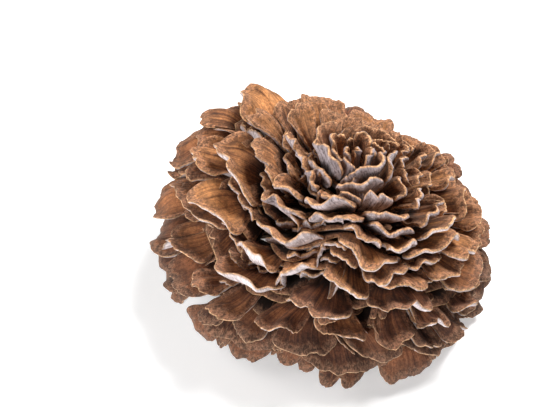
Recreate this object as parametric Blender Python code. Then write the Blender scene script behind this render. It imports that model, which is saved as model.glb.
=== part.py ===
"""Maitake mushroom: a rosette of overlapping fan caps on branching fronds.

A stout stem, cut flat below, divides into short fronds. Each frond is one
stalk that spreads into several thin caps, and the fronds stand in five tiers
round the stem, from the small upright caps of the crown to the broad skirt.
All the fronds follow one growth law, a smooth map without folds from
(turn round the stem, layer from crown to skirt, way from root to rim) to a
place, so caps of different layers overlap like tiles and never cross.

Metres, +Z up. The origin is the middle of the flat cut that it rests on.
"""

import math

import bmesh
import bpy
import numpy as np
from mathutils import Vector

# The outline: a dome over the rims of the caps
HALF_WIDTH = 0.106
CROWN_RISE = 0.092
BELLY_LEVEL = 0.034
STRETCH = 0.10
LONG_WAY = math.radians(-36)
FRONT_BULGE = 0.13
FRONT_WAY = math.radians(-126)
LEAN_X = -0.10
LEAN_Y = -0.05

# The stem: a smaller dome that the fronds spring from, cut off at the ground
STEM_RADIUS = 0.038
STEM_RISE = 0.036
STEM_LEVEL = 0.010
STEM_SIDES = 18
STEM_RINGS = 9
FOOT_GAP = 0.0006

# The growth law: REACH is the angle from the dome's top down to its last layer
REACH = math.radians(107)
CROWN_SHIFT = 0.10 - 0.05j
ROOT_SPREAD = 0.70
EARLY_RISE = 0.45
FLARE = 0.016
FLARE_MORE = 2.4
FLARE_WAY = math.radians(115)
FLARE_FULL = 0.30
FLARE_EASES = 0.65
FLARE_LOSS = 0.7
SWIRLS = (
    (-0.12 - 0.40j, 0.30, math.radians(35)),
    (0.34 - 0.02j, 0.24, math.radians(-45)),
    (-0.30 + 0.30j, 0.30, math.radians(30)),
)
RIPPLES = ((0.0055, 0.120, 2.0), (0.0032, 0.046, 0.0))

# Tiers: name, fronds, first and last layer, and the caps in each of a frond's rows
TIERS = (
    ("crown", 2, 0.000, 0.125, (1, 2, 2)),
    ("inner", 6, 0.125, 0.335, (1, 2, 2, 2)),
    ("upper", 8, 0.335, 0.560, (2, 1, 2, 2)),
    ("lower", 10, 0.560, 0.790, (2, 1, 2, 2)),
    ("skirt", 10, 0.790, 1.000, (2, 1, 2)),
)
ROW_STAGGER = 0.22
SEED = 9

# Caps
CAP_LIMIT = 0.068
FRONT_ROUNDNESS = 2.2
CAP_GAP = 0.0016
CAP_CLEARANCE = 0.0022
CAP_FILL = 0.42
CAP_ROOM = 0.84
RIM_THICKNESS = 0.0020
ROOT_THICKNESS = 0.0024
CUP = (0.0030, 0.0030, 0.0025, 0.0005, -0.0010)
CURL = (0.0020, 0.0025, 0.0025, 0.0020, 0.0010)
WAVE = 0.0042
BEND = 0.0012
ROLL = 0.002
SHORTEST = (0.90, 0.90, 0.92, 0.92, 0.97)
LONGEST = 1.03

# On one side of each middle tier every other row stays short, and bares the broad fans between
SHORT_ROWS = (0, 2)
SHORT_BY = 0.20
SHORT_WAYS = (None, math.radians(120), math.radians(165), math.radians(-115), None)
CAP_STEPS = (0.55, 1.0)

# Stalks, round at the root and widening across the tier's layers, to where the caps part
STALK_RADIUS = 0.0044
STALK_HALF_WIDTH = 0.0050
STALK_SHARE = 0.92
STALK_END = 0.36
PART_SPAN = 0.30
SPREAD_START = 0.15
SPREAD_SPAN = 0.70
COLUMNS = 4

STEM_COLOUR = (0.62, 0.50, 0.38)
TIER_COLOURS = (
    (0.17, 0.085, 0.045),
    (0.19, 0.093, 0.048),
    (0.21, 0.100, 0.051),
    (0.16, 0.078, 0.042),
    (0.13, 0.063, 0.035),
)


def clear_scene():
    for item in list(bpy.data.objects):
        bpy.data.objects.remove(item, do_unlink=True)


def make_collection(name):
    group = bpy.data.collections.new(name)
    bpy.context.scene.collection.children.link(group)
    return group


def make_material(name, colour, roughness):
    material = bpy.data.materials.new(name)
    material.use_nodes = True
    shader = material.node_tree.nodes["Principled BSDF"]
    shader.inputs["Base Color"].default_value = (*colour, 1)
    shader.inputs["Roughness"].default_value = roughness
    shader.inputs["Metallic"].default_value = 0.0
    return material


def add_object(name, shape, group, material=None):
    mesh = bpy.data.meshes.new(name)
    shape.to_mesh(mesh)
    shape.free()
    item = bpy.data.objects.new(name, mesh)
    group.objects.link(item)
    if material:
        mesh.materials.append(material)
    return item


def smooth(t):
    """0 below 0, 1 above 1, and an even S between them."""
    t = np.clip(t, 0, 1)
    return t * t * (3 - 2 * t)


def dome(disk, radius, rise, level):
    """A dome over the unit disk: the distance from the disk's middle is the angle down from the top."""
    down = np.abs(disk) * REACH
    turn = np.angle(disk)
    across = radius * (1 + STRETCH * np.cos(2 * (turn - LONG_WAY))) * np.sin(down)
    across = across * (1 + FRONT_BULGE * (0.5 + 0.5 * np.cos(turn - FRONT_WAY)) ** 6)
    return np.stack((across * np.cos(turn), across * np.sin(turn), level + rise * np.cos(down)), -1)


def grow(turn, layer, way):
    """The growth law: the place at a turn round the stem, in a layer (crown 0, skirt 1),
    some way out (root 0, rim 1)."""
    turn, layer, way = np.broadcast_arrays(turn, layer, way)
    late = way ** (1 + layer ** 2)
    down = (1 - late) * (ROOT_SPREAD * layer + 0.01) + late * layer
    # the fronds rise first and lean out at their rims, less so in the crown and the skirt
    flare = FLARE * (1 + FLARE_MORE * np.cos(turn - FLARE_WAY))
    loss = FLARE_LOSS * smooth((layer - FLARE_EASES) / (1 - FLARE_EASES))
    flare = flare * smooth(layer / FLARE_FULL) * (1 - loss)
    # this hump is 1 high, at two thirds of the way
    hump = 6.75 * way ** 2 * (1 - way)
    down = down - flare * hump
    disk = down * np.exp(1j * turn)
    # the crown sits off the middle, and the rows wind round a few whorls
    disk = disk + CROWN_SHIFT * np.clip(1 - np.abs(disk) ** 2, 0, 1)
    for centre, radius, angle in SWIRLS:
        arm = disk - centre
        fall = np.clip(1 - (np.abs(arm) / radius) ** 2, 0, 1) ** 2
        disk = centre + arm * np.exp(1j * angle * fall)
    out = way * (1 + EARLY_RISE * (1 - way))
    stem = dome(disk, STEM_RADIUS, STEM_RISE, STEM_LEVEL)
    place = stem + out[..., None] * (dome(disk, HALF_WIDTH, CROWN_RISE, BELLY_LEVEL) - stem)
    place[..., 0] += LEAN_X * out * (place[..., 2] - BELLY_LEVEL)
    place[..., 1] += LEAN_Y * out * (place[..., 2] - BELLY_LEVEL)
    x, y, z = place[..., 0], place[..., 1], place[..., 2]
    ripple = 0
    for height, length, phase in RIPPLES:
        k = 2 * np.pi / length
        ripple = ripple + height * np.stack((
            np.sin(k * z + 1.3 + phase) * np.cos(k * 0.7 * y + phase),
            np.sin(k * 0.8 * x + 2.1 + phase) * np.cos(k * z + 0.5),
            np.sin(k * 0.9 * x + 0.4) * np.sin(k * 0.8 * y + 1.7 + phase),
        ), -1)
    return place + out[..., None] * ripple


def short_share(tier, row, turn):
    """How much of its reach a cap loses where its row stays short."""
    if row not in SHORT_ROWS or SHORT_WAYS[tier] is None:
        return 0
    return SHORT_BY * smooth(0.5 + 0.9 * np.cos(turn - SHORT_WAYS[tier]))


def plan_row(draw, tier, row, left, right, layer, step, many):
    """The caps of one row: they share the arc from left to right between them."""
    edges = np.linspace(left, right, many + 1)
    edges[1:-1] += draw.uniform(-0.12, 0.12, many - 1) * (right - left) / many
    caps = []
    for number, (start, end) in enumerate(zip(edges[:-1], edges[1:])):
        middle = (start + end) / 2
        caps.append({
            "tier": tier,
            "first_column": number * COLUMNS // many,
            "columns": COLUMNS // many,
            "turn": middle,
            "layer": layer + draw.uniform(-0.08, 0.08) * step,
            "step": step,
            "half_turn": (end - start) / 2 * draw.uniform(0.90, 1.0),
            "reach": draw.uniform(SHORTEST[tier], LONGEST) * (1 - short_share(tier, row, middle)),
            "bend": draw.uniform(-1, 1),
            "cup": draw.uniform(-1, 1),
            "curl": draw.uniform(-1, 1),
            "roll": draw.uniform(-1, 1),
            "wave": draw.uniform(0.4, 1),
            "waves": draw.uniform(1.0, 2.6),
            "phase": draw.uniform(0, 2 * np.pi),
            "droop": draw.uniform(0.75, 1.05),
        })
    return caps


def plan_fronds():
    """Every frond with its caps. A frond fills its own sector of the tier's layers, and the
    sector's edges are staggered from row to row, so neighbours interlock as bricks do."""
    draw = np.random.RandomState(SEED)
    fronds = []
    for tier, (name, count, top, bottom, rows) in enumerate(TIERS):
        first = draw.uniform(0, 2 * np.pi)
        pitch = 2 * np.pi / count
        step = (bottom - top) / len(rows)
        stagger = draw.uniform(-ROW_STAGGER, ROW_STAGGER, (count, len(rows))) * pitch
        for number in range(count):
            turn = first + pitch * number
            planned = []
            for row, many in enumerate(rows):
                left = turn - pitch / 2 + stagger[number, row]
                right = turn + pitch / 2 + stagger[(number + 1) % count, row]
                layer = top + (row + 0.5) * step
                planned.append(plan_row(draw, tier, row, left, right, layer, step, many))
            fronds.append({
                "name": f"{name}_frond_{number + 1}",
                "tier": tier,
                "turn": turn + pitch * draw.uniform(-0.06, 0.06),
                "layer": (top + bottom) / 2,
                "rows": planned,
            })
    return fronds


def cap_line(frond, cap):
    """A cap's middle line, from the frond's root to the rim: way, turn, layer and spread at
    its points, the length up to each, and the metres to one radian of turn there."""
    way = np.linspace(0, 1, 33)
    spread = smooth((way - SPREAD_START) / SPREAD_SPAN)
    part = STALK_SHARE * np.minimum(way / STALK_END, 1)
    part = part + (1 - STALK_SHARE) * smooth((way - STALK_END) / PART_SPAN)
    layer = frond["layer"] + (cap["layer"] - frond["layer"]) * part
    turn = frond["turn"] + (cap["turn"] - frond["turn"]) * spread
    place = grow(turn, layer, way)
    steps = np.linalg.norm(np.diff(place, axis=0), axis=1)
    length = np.concatenate(([0], np.cumsum(steps)))
    small = 0.02
    chord = grow(turn + small, layer, way) - grow(turn - small, layer, way)
    ring = np.linalg.norm(chord, axis=-1) / (2 * small)
    return way, turn, layer, spread, length, np.maximum(ring, 0.004)


def cap_sheet(frond, cap, a, b):
    """The middle sheet of a cap. a runs across it from -1 to 1 and b along it, from 0 at the
    stalk's end to 1 at the rim. The outline is a fan: its sides spread by an S from a narrow
    root, and its front is rounded. The sheet lies in its layer, lifted by a cupped edge, a
    curl at the rim and a wave along it, as far as the layers beside it leave room. Gives
    the places, the sheet's upward direction and its thickness there."""
    way, turn, layer, spread, length, ring = cap_line(frond, cap)
    half_turn = min(cap["half_turn"], CAP_LIMIT / 2 / ring[-4]) - CAP_GAP / ring[-4]
    width = 2 * half_turn * ring[-4]
    start = np.interp(STALK_END, way, length)
    reach = length[-1] * cap["reach"] - start
    side = np.abs(a) ** FRONT_ROUNDNESS
    front = 1 - 0.5 * width * cap["droop"] / reach * (1 - (1 - 0.98 * side) ** (1 / FRONT_ROUNDNESS))
    forward = start + b * front * reach
    at_way = np.interp(forward, length, way) + np.clip(forward - length[-1], 0, None) / length[-1]
    at_spread = np.interp(at_way, way, spread)
    root_share = (2 * cap["first_column"] + (1 + a) * cap["columns"]) / COLUMNS - 1
    sideways = root_share * STALK_HALF_WIDTH * (1 - at_spread) + cap["bend"] * BEND * b ** 2
    at_turn = np.interp(at_way, way, turn) + a * half_turn * at_spread
    at_turn = at_turn + sideways / np.interp(at_way, way, ring)
    at_layer = np.interp(at_way, way, layer)
    place = grow(at_turn, at_layer, at_way)
    small = 0.004
    over = grow(at_turn, at_layer - small, at_way) - place
    round_way = grow(at_turn + small, at_layer, at_way) - grow(at_turn - small, at_layer, at_way)
    out_way = grow(at_turn, at_layer, at_way + small) - grow(at_turn, at_layer, at_way - small)
    face = np.cross(round_way, out_way)
    face /= np.linalg.norm(face, axis=-1, keepdims=True)
    face *= np.sign((face * over).sum(-1, keepdims=True))
    apart = np.abs((over * face).sum(-1)) / small * cap["step"]
    thickness = RIM_THICKNESS + (ROOT_THICKNESS - RIM_THICKNESS) * (1 - b) ** 2
    thickness = np.minimum(thickness, CAP_FILL * apart)
    room = np.maximum((CAP_ROOM * apart - thickness - CAP_CLEARANCE) / 2, 0.0001)
    tier = cap["tier"]
    lift = (0.5 + 0.9 * cap["cup"]) * CUP[tier] * np.abs(a) ** 2.5 * b ** 1.5
    lift = lift - (0.7 + 0.6 * cap["curl"]) * CURL[tier] * (b * (1 - 0.3 * np.abs(a) ** 3)) ** 7
    wave = cap["wave"] * WAVE * (width / 0.05) ** 0.6
    lift = lift + wave * np.sin(cap["waves"] * np.pi * a + cap["phase"]) * b ** 3
    lift = lift + ROLL * cap["roll"] * a * b
    lift = room * np.tanh(lift / room)
    return place + face * lift[..., None], face, thickness


def place_section(corners, column, line, frond, cap, row, share):
    """Places for the corners of one cross-section of a cap: across it by the corner's
    column, and above or below the sheet by its line."""
    columns = np.array([corner[column] for corner in corners])
    lines = np.array([corner[line] for corner in corners])
    across = 2 * (columns - cap["first_column"]) / cap["columns"] - 1
    middle, face, thickness = cap_sheet(frond, cap, across, np.full(len(corners), share))
    side = np.where(lines == 2 * row, 0.5, -0.5)
    return middle + face * (side * thickness)[:, None]


def foot_place(frond, column, line, lines):
    """The place on the stalk's round foot, just off the stem, for a corner of the border of
    its end. The corners stand evenly round the foot, in the order that they have there."""
    if line == 0:
        walked = column
    elif column == COLUMNS:
        walked = COLUMNS + line
    elif line == lines:
        walked = 2 * COLUMNS + lines - column
    else:
        walked = 2 * COLUMNS + 2 * lines - line
    angle = math.pi * ((walked - COLUMNS / 2) / (COLUMNS + lines) - 0.5)
    turn, layer, small = frond["turn"], frond["layer"], 0.01
    ring = np.linalg.norm(grow(turn + small, layer, 0) - grow(turn - small, layer, 0)) / (2 * small)
    rise = np.linalg.norm(grow(turn, layer + small, 0) - grow(turn, layer - small, 0)) / (2 * small)
    sideways = STALK_RADIUS * math.cos(angle)
    downward = STALK_RADIUS * math.sin(angle)
    foot = Vector(grow(turn + sideways / ring, layer + downward / rise, 0))
    away = foot - Vector((0, 0, STEM_LEVEL))
    return foot + away.normalized() * FOOT_GAP


def make_frond(frond, group, material):
    """One frond. It starts as a grid, the stalk's end seen face on: a line of cells for each
    row of caps, with a line between them. The grid's border is drawn back to the stalk's
    foot, and each cap's cells are drawn out in steps to its rim."""
    lines = 2 * len(frond["rows"]) - 1
    shape = bmesh.new()
    column = shape.verts.layers.int.new("column")
    line = shape.verts.layers.int.new("line")
    step = shape.verts.layers.int.new("step")
    bmesh.ops.create_grid(shape, x_segments=COLUMNS, y_segments=lines, size=1)
    for corner in shape.verts:
        corner[column] = round((corner.co.x + 1) / 2 * COLUMNS)
        corner[line] = round((1 - corner.co.y) / 2 * lines)
        corner[step] = 1
    end_corners = shape.verts[:]
    end_cells = shape.faces[:]

    # the stalk, from the grid's border back to its foot
    border = [edge for edge in shape.edges if edge.is_boundary]
    drawn = bmesh.ops.extrude_edge_only(shape, edges=border)["geom"]
    foot = [item for item in drawn if isinstance(item, bmesh.types.BMVert)]
    for corner in foot:
        corner.co = foot_place(frond, corner[column], corner[line], lines)
        corner[step] = 0
    foot_edges = [edge for edge in shape.edges if edge.is_boundary]
    sole = bmesh.ops.contextual_create(shape, geom=foot_edges)["faces"]
    bmesh.ops.poke(shape, faces=sole)

    # the caps, each from its own cells
    end_places = {corner: [] for corner in end_corners}
    for row, caps in enumerate(frond["rows"]):
        for cap in caps:
            last_column = cap["first_column"] + cap["columns"]
            cells = [
                cell for cell in end_cells
                if cell.is_valid
                and all(cap["first_column"] <= corner[column] <= last_column for corner in cell.verts)
                and all(corner[line] in (2 * row, 2 * row + 1) for corner in cell.verts)]
            roots = {corner for cell in cells for corner in cell.verts}
            roots = sorted(roots, key=lambda corner: corner.index)
            for corner, place in zip(roots, place_section(roots, column, line, frond, cap, row, 0)):
                end_places[corner].append(place)
            for number, share in enumerate(CAP_STEPS):
                drawn = bmesh.ops.extrude_face_region(shape, geom=cells)["geom"]
                bmesh.ops.delete(shape, geom=cells, context="FACES_KEEP_BOUNDARY")
                section = [item for item in drawn if isinstance(item, bmesh.types.BMVert)]
                places = place_section(section, column, line, frond, cap, row, share)
                for corner, place in zip(section, places):
                    corner.co = place
                    corner[step] = number + 2
                cells = [item for item in drawn if isinstance(item, bmesh.types.BMFace)]
    for corner, places in end_places.items():
        corner.co = np.mean(places, axis=0)

    # a cap's upper and lower face bend along the same diagonals, so they never meet
    for face in shape.faces[:]:
        steps = {corner[step] for corner in face.verts}
        if len(face.verts) == 4 and len(steps) == 2 and len({corner[line] for corner in face.verts}) == 1:
            ends = sorted(face.verts, key=lambda corner: (corner[step], corner[column]))
            bmesh.utils.face_split(face, ends[0], ends[-1])

    bmesh.ops.recalc_face_normals(shape, faces=shape.faces)
    return add_object(frond["name"], shape, group, material)


def make_stem(group, material):
    """The stem: a dome carried on below its widest and cut flat at the ground."""
    shape = bmesh.new()
    bmesh.ops.create_uvsphere(shape, u_segments=STEM_SIDES, v_segments=STEM_RINGS, radius=1)
    for corner in shape.verts:
        down = math.acos(max(-1, min(1, corner.co.z)))
        turn = math.atan2(corner.co.y, corner.co.x)
        disk = down / REACH * complex(math.cos(turn), math.sin(turn))
        corner.co = dome(disk, STEM_RADIUS, STEM_RISE, STEM_LEVEL)
    cut = bmesh.ops.bisect_plane(
        shape, geom=shape.verts[:] + shape.edges[:] + shape.faces[:],
        plane_co=(0, 0, 0), plane_no=(0, 0, -1), clear_outer=True)
    rim = [item for item in cut["geom_cut"] if isinstance(item, bmesh.types.BMEdge)]
    bmesh.ops.contextual_create(shape, geom=rim)
    bmesh.ops.recalc_face_normals(shape, faces=shape.faces)
    return add_object("stem_base", shape, group, material)


clear_scene()
mushroom = make_collection("maitake_mushroom")
make_stem(mushroom, make_material("stem_flesh", STEM_COLOUR, 0.8))
skins = [make_material(f"{tier[0]}_skin", colour, 0.75) for tier, colour in zip(TIERS, TIER_COLOURS)]
for planned_frond in plan_fronds():
    make_frond(planned_frond, mushroom, skins[planned_frond["tier"]])
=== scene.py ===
"""A maitake mushroom: thin wavy caps on branching fronds, overlapping in a rosette round a stout stem.

The stem comes first, then the fronds from the crown outwards to the skirt, then the
ground, the light and the camera. Metres, +Z up, the origin under the middle of the stem.
"""

import math

import bpy
import numpy as np
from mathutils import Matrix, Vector


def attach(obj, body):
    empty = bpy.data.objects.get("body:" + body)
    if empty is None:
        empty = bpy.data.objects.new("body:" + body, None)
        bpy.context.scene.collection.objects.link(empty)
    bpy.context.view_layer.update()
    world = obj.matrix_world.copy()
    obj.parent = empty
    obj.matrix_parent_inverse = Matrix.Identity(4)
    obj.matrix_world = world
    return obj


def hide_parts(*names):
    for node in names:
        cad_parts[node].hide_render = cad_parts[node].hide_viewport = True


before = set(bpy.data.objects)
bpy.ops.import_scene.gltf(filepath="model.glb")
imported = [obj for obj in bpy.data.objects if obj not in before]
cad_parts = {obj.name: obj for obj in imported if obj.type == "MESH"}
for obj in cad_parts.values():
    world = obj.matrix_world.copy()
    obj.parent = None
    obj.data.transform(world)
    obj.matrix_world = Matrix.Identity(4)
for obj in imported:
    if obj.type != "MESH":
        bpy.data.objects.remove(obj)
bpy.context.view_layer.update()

# The stem
# A stout stump of firm cream flesh, from which every frond branches. It was cut off flat with
# a knife, and the cut, which it stands on, is drier, with a pinkish orange stain round it.

# what the stem's dome and the caps' share: how far down they reach, their stretch and bulge
REACH = math.radians(107)
STRETCH = 0.10
LONG_WAY = math.radians(-36)
FRONT_BULGE = 0.13
FRONT_WAY = math.radians(-126)
BULGE_POWER = 6

STEM_RADIUS = 0.038
STEM_RISE = 0.036
STEM_LEVEL = 0.010
STEM_LUMP = 0.0010
LUMP_PITCH = 400
LUMPS_BEGIN = 0.004
STEM_SIDES = 96
STEM_RINGS = 44
CUT_RINGS = 14

FLESH = (0.66, 0.55, 0.40)
FLESH_DARK = (0.42, 0.31, 0.20)
FLESH_STAIN = (0.62, 0.27, 0.13)
# the painted shade that darkens the flesh high up between the fronds
FLESH_PAINTED_SHADE = (0.030, 0.017, 0.010)
# its patterns, in lumps to the metre, and the values that each is read between, and as what
FLESH_FIBRES = (900, 900, 90)
FLESH_PATCHES = 120
PATCHES_DARKEN = (0.40, 0.68)
FIBRES_DARKEN = (0.35, 0.75, 0, 0.45)
FLESH_ROUGHNESS = (0.3, 0.7, 0.62, 0.85)
FLESH_RELIEF = 0.0004
# the heights between which the stain and the painted shade high up between the fronds come
# up, how strong they get, how ragged the stain is, and how far the cut keeps clear of it
STAIN_HEIGHTS = (0.022, 0.008)
STAIN_MOST = 0.85
STAIN_RAGGED = 0.02
PAINTED_SHADE_HEIGHTS = (0.012, 0.034)
PAINTED_SHADE_MOST = 0.9
CUT_CLEAR = 0.7


def smooth(t):
    """0 below 0, 1 above 1, and an even S between them."""
    t = np.clip(t, 0, 1)
    return t * t * (3 - 2 * t)


def dome(disk, radius, rise, level):
    """A dome over the unit disk of complex numbers: the distance from the disk's middle, times
    the reach, is the angle down from the top. The sine of that angle gives the width, which
    is stretched one way and bulges to the front left, and its cosine gives the height."""
    down = np.abs(disk) * REACH
    turn = np.angle(disk)
    across = radius * (1 + STRETCH * np.cos(2 * (turn - LONG_WAY))) * np.sin(down)
    across = across * (1 + FRONT_BULGE * (0.5 + 0.5 * np.cos(turn - FRONT_WAY)) ** BULGE_POWER)
    return np.stack((across * np.cos(turn), across * np.sin(turn), level + rise * np.cos(down)), -1)


def add_piece(name, places, faces, numbers, material):
    """A mesh object from arrays: a row of places, a row of corner numbers for each face, and
    one value of each named number at every place."""
    mesh = bpy.data.meshes.new(name)
    mesh.from_pydata(places.tolist(), [], faces)
    mesh.shade_smooth()
    for label, values in numbers.items():
        layer = mesh.attributes.new(label, "FLOAT", "POINT")
        layer.data.foreach_set("value", values.astype(np.float32))
    mesh.materials.append(material)
    item = bpy.data.objects.new(name, mesh)
    bpy.context.scene.collection.objects.link(item)
    return item


def stem_surface():
    """The stem by two numbers, the turn round it and the way down it: down the dome from the
    pole to the ground, then in over the flat cut to its middle. Low lumps, sums of sines of
    the place, swell it sideways and fade out at the ground."""
    ground = math.acos(-STEM_LEVEL / STEM_RISE) / REACH
    turn = np.linspace(0, 2 * np.pi, STEM_SIDES, endpoint=False)
    way = np.linspace(0, ground, STEM_RINGS)[1:]
    wall = dome(way[:, None] * np.exp(1j * turn), STEM_RADIUS, STEM_RISE, STEM_LEVEL)
    x, y, z = (wall[..., k] * LUMP_PITCH for k in range(3))
    lump = np.sin(x + 1.3 * np.sin(y)) + np.sin(1.7 * y + 0.6 * z) + 0.6 * np.sin(2.9 * x - 1.1 * z)
    fade = smooth(wall[..., 2] / LUMPS_BEGIN)
    wall[..., :2] *= (1 - STEM_LUMP / STEM_RADIUS * (1 + lump) * fade)[..., None]
    share = np.linspace(1, 0, CUT_RINGS + 1)[1:-1]
    cut = wall[-1][None] * np.stack((share, share, share), -1)[:, None]
    cut[..., 2] = 0
    rings = np.concatenate((wall, cut)).reshape(-1, 3)
    top = dome(np.zeros(1, complex), STEM_RADIUS, STEM_RISE, STEM_LEVEL)
    places = np.concatenate((rings, top, np.zeros((1, 3))))
    corner = np.arange(len(rings)).reshape(-1, STEM_SIDES)
    after = np.roll(corner, -1, axis=1)
    walls = np.stack((corner[:-1], corner[1:], after[1:], after[:-1]), -1).reshape(-1, 4)
    pole = np.stack((np.full(STEM_SIDES, len(rings)), corner[0], after[0]), -1)
    middle = np.stack((corner[-1], np.full(STEM_SIDES, len(rings) + 1), after[-1]), -1)
    cut_share = np.concatenate((np.zeros(wall[..., 0].size), np.ones(cut[..., 0].size), (0, 1)))
    return places, walls.tolist() + pole.tolist() + middle.tolist(), {"cut": cut_share}


def add_node(tree, kind, inputs=(), **settings):
    """A shader node, with its settings and, by socket, the value or the output it takes."""
    node = tree.nodes.new("ShaderNode" + kind)
    for name, value in settings.items():
        setattr(node, name, value)
    for socket, value in dict(inputs).items():
        if isinstance(value, bpy.types.NodeSocket):
            tree.links.new(value, node.inputs[socket])
        else:
            node.inputs[socket].default_value = value
    return node


def add_sum(tree, first, second, how="ADD"):
    """The sum of two values, or another result of the two where how names it."""
    return add_node(tree, "Math", {0: first, 1: second}, operation=how).outputs[0]


def add_blend(tree, share, start, end, how="MIX"):
    """One colour turning into another with a share from 0 to 1."""
    inputs = {0: share, 6: start, 7: end}
    for socket in (6, 7):
        if not isinstance(inputs[socket], bpy.types.NodeSocket):
            inputs[socket] = (*inputs[socket], 1)
    return add_node(tree, "Mix", inputs, data_type="RGBA", blend_type=how).outputs[2]


def add_range(tree, value, start, end, low=0.0, high=1.0):
    """A value read between start and end in an even S, as low to high."""
    inputs = {0: value, 1: start, 2: end, 3: low, 4: high}
    return add_node(tree, "MapRange", inputs, interpolation_type="SMOOTHSTEP").outputs[0]


def add_noise(tree, vector, scale, detail, roughness=0.5, twist=0.0):
    """Noise from 0 to 1, in lumps of one part in scale of the vector's unit and finer ones
    laid over them."""
    inputs = {"Vector": vector, "Scale": scale, "Detail": detail}
    inputs.update({"Roughness": roughness, "Distortion": twist})
    return add_node(tree, "TexNoise", inputs).outputs["Fac"]


def add_number(tree, name):
    """One of the numbers that a piece carries at its corners."""
    return add_node(tree, "Attribute", attribute_name=name).outputs["Fac"]


def start_material(name):
    """A new material, with its tree of nodes and its shader."""
    material = bpy.data.materials.new(name)
    material.use_nodes = True
    return material, material.node_tree, material.node_tree.nodes["Principled BSDF"]


def stem_material():
    """Cream flesh with upright fibres, browner in patches, stained towards the ground, plain
    on the cut, and darkened high up between the fronds in painted shade."""
    material, tree, shader = start_material("stem_flesh")
    place = add_node(tree, "TexCoord").outputs["Object"]
    fibres = add_node(tree, "Mapping", {"Vector": place, "Scale": FLESH_FIBRES}).outputs[0]
    fibre = add_noise(tree, fibres, 1.0, detail=6, roughness=0.6)
    patch = add_noise(tree, place, FLESH_PATCHES, detail=4)
    cut = add_number(tree, "cut")
    height = add_node(tree, "SeparateXYZ", {0: place}).outputs["Z"]
    colour = add_blend(tree, add_range(tree, patch, *PATCHES_DARKEN), FLESH, FLESH_DARK)
    colour = add_blend(tree, add_range(tree, fibre, *FIBRES_DARKEN), colour, FLESH_DARK)
    near = add_sum(tree, height, add_sum(tree, patch, STAIN_RAGGED, "MULTIPLY"))
    stain = add_range(tree, near, *STAIN_HEIGHTS, 0, STAIN_MOST)
    colour = add_blend(tree, stain, colour, FLESH_STAIN)
    colour = add_blend(tree, add_sum(tree, cut, CUT_CLEAR, "MULTIPLY"), colour, FLESH)
    # painted shade: the flesh darkens upwards, where the fronds shade it
    shade = add_range(tree, height, *PAINTED_SHADE_HEIGHTS, 0, PAINTED_SHADE_MOST)
    colour = add_blend(tree, shade, colour, FLESH_PAINTED_SHADE)
    tree.links.new(colour, shader.inputs["Base Color"])
    tree.links.new(add_range(tree, patch, *FLESH_ROUGHNESS), shader.inputs["Roughness"])
    bump = add_node(tree, "Bump", {"Strength": 0.8, "Distance": FLESH_RELIEF, "Height": fibre})
    tree.links.new(bump.outputs[0], shader.inputs["Normal"])
    return material


stem_places, stem_faces, stem_numbers = stem_surface()
stem = add_piece("stem", stem_places, stem_faces, stem_numbers, stem_material())
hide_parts("stem_base")
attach(stem, "root")

# The crown
# Two small fronds stand upright in the middle of the rosette. They are young growth: soft,
# narrow caps with rolled rims, grown from the top of the stem.

# the outer dome, which the caps' rims fill, and its lean
HALF_WIDTH = 0.106
CROWN_RISE = 0.092
BELLY_LEVEL = 0.034
LEAN_X = -0.10
LEAN_Y = -0.05
# how the fronds grow out to it from the stem's dome
CROWN_SHIFT = 0.10 - 0.05j
ROOT_SPREAD = 0.70
ROOT_START = 0.01
EARLY_RISE = 0.45
FLARE = 0.016
FLARE_MORE = 2.4
FLARE_WAY = math.radians(115)
FLARE_FULL = 0.30
FLARE_EASES = 0.65
FLARE_LOSS = 0.7
# the middle, size and winding of each whorl, and the height, length and phase of each ripple
SWIRLS = (
    (-0.12 - 0.40j, 0.30, math.radians(35)),
    (0.34 - 0.02j, 0.24, math.radians(-45)),
    (-0.30 + 0.30j, 0.30, math.radians(30)),
)
RIPPLES = ((0.0055, 0.120, 2.0), (0.0032, 0.046, 0.0))


def grow(turn, layer, way):
    """The growth law, a smooth map without folds: the place at a turn round the stem, in a
    layer (crown 0, skirt 1), some way out (root 0, rim 1). A root on the stem's dome is
    joined to a rim on the outer dome, the way bending up and then out, with the crown off
    the middle, three whorls that wind the rows, and two sizes of ripple."""
    turn, layer, way = np.broadcast_arrays(turn, layer, way)
    late = way ** (1 + layer ** 2)
    down = (1 - late) * (ROOT_SPREAD * layer + ROOT_START) + late * layer
    flare = FLARE * (1 + FLARE_MORE * np.cos(turn - FLARE_WAY))
    loss = FLARE_LOSS * smooth((layer - FLARE_EASES) / (1 - FLARE_EASES))
    flare = flare * smooth(layer / FLARE_FULL) * (1 - loss)
    # this hump is 1 high, at two thirds of the way
    hump = 6.75 * way ** 2 * (1 - way)
    disk = (down - flare * hump) * np.exp(1j * turn)
    disk = disk + CROWN_SHIFT * np.clip(1 - np.abs(disk) ** 2, 0, 1)
    for centre, radius, angle in SWIRLS:
        arm = disk - centre
        fall = np.clip(1 - (np.abs(arm) / radius) ** 2, 0, 1) ** 2
        disk = centre + arm * np.exp(1j * angle * fall)
    out = way * (1 + EARLY_RISE * (1 - way))
    root = dome(disk, STEM_RADIUS, STEM_RISE, STEM_LEVEL)
    place = root + out[..., None] * (dome(disk, HALF_WIDTH, CROWN_RISE, BELLY_LEVEL) - root)
    place[..., 0] += LEAN_X * out * (place[..., 2] - BELLY_LEVEL)
    place[..., 1] += LEAN_Y * out * (place[..., 2] - BELLY_LEVEL)
    x, y, z = place[..., 0], place[..., 1], place[..., 2]
    ripple = 0
    for height, length, phase in RIPPLES:
        k = 2 * np.pi / length
        ripple = ripple + height * np.stack((
            np.sin(k * z + 1.3 + phase) * np.cos(k * 0.7 * y + phase),
            np.sin(k * 0.8 * x + 2.1 + phase) * np.cos(k * z + 0.5),
            np.sin(k * 0.9 * x + 0.4) * np.sin(k * 0.8 * y + 1.7 + phase),
        ), -1)
    return place + out[..., None] * ripple


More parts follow.
